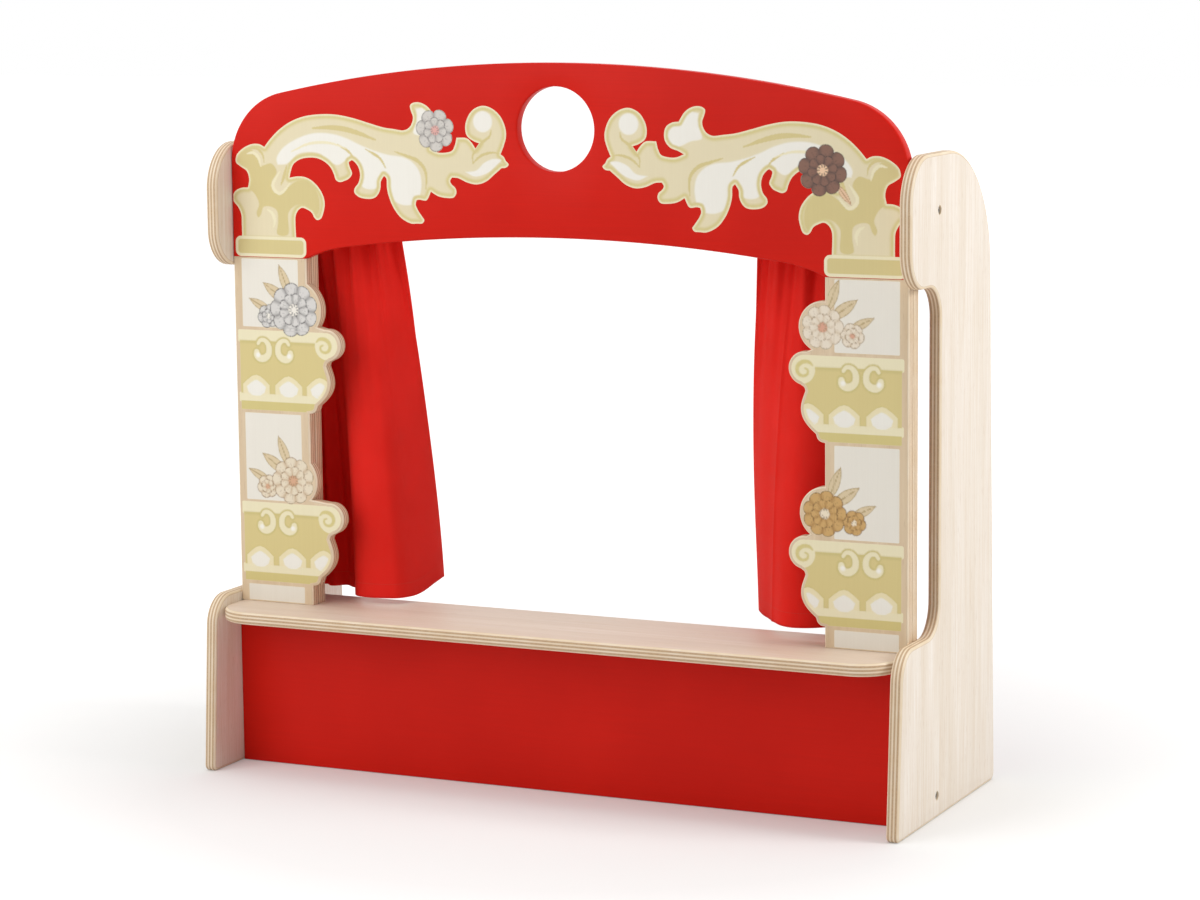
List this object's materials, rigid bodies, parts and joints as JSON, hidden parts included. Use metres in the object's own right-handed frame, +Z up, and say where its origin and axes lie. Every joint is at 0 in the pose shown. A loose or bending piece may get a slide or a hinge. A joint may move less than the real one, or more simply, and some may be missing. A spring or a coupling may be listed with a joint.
{
  "type": "puppet theater stand",
  "caption": "Tabletop puppet theatre of plywood: C-shaped side panels, stage shelf, columns with balconies, arch with a round window, and curtains that slide on a wooden rod.",
  "frame": {"origin": "on the floor, under the middle of the whole box", "axes": "+Z up, the stage front faces -Y, +X to the right seen from the front"},
  "size_m": [0.73, 0.2717, 0.6989],
  "materials": {
    "birch_plywood": "clear matt lacquer on birch plywood, laminated edges showing",
    "red_paint": "opaque red satin paint on plywood",
    "printed_birch": "cream and gold print on birch plywood with bare margins",
    "beech": "plain sanded beech dowel",
    "red_cotton": "plain woven red cotton with a soft sheen",
    "steel": "zinc-plated steel"
  },
  "bodies": {
    "root": {"side_panel_left": "birch_plywood", "side_panel_right": "birch_plywood", "stage_shelf": "birch_plywood", "front_panel": "red_paint", "arch_panel": "red_paint", "column_board_left": "printed_birch", "column_board_right": "printed_birch", "column_post_left": "birch_plywood", "column_post_right": "birch_plywood", "curtain_rod": "beech", "stretcher_rod": "beech", "shelf_dowel_left_1": "beech", "shelf_dowel_left_2": "beech", "front_panel_dowel_left_1": "beech", "front_panel_dowel_left_2": "beech", "arch_dowel_left_1": "beech", "arch_dowel_left_2": "beech", "column_dowel_left_1": "beech", "column_dowel_left_2": "beech", "shelf_dowel_right_1": "beech", "shelf_dowel_right_2": "beech", "front_panel_dowel_right_1": "beech", "front_panel_dowel_right_2": "beech", "arch_dowel_right_1": "beech", "arch_dowel_right_2": "beech", "column_dowel_right_1": "beech", "column_dowel_right_2": "beech", "curtain_rod_screw_left": "steel", "curtain_rod_screw_right": "steel", "stretcher_rod_screw_left": "steel", "stretcher_rod_screw_right": "steel", "arch_screw_left_1": "steel", "arch_screw_left_2": "steel", "arch_screw_right_1": "steel", "arch_screw_right_2": "steel", "column_screw_left_1": "steel", "column_screw_left_2": "steel", "column_screw_right_1": "steel", "column_screw_right_2": "steel"},
    "left_curtain": {"curtain_left": "red_cotton"},
    "right_curtain": {"curtain_right": "red_cotton"}
  },
  "joints": [
    {"name": "left_curtain_slide", "type": "slide", "parent": "root", "child": "left_curtain", "axis": [1, 0, 0], "range_m": [0, 0.182]},
    {"name": "right_curtain_slide", "type": "slide", "parent": "root", "child": "right_curtain", "axis": [-1, 0, 0], "range_m": [0, 0.15]}
  ]
}
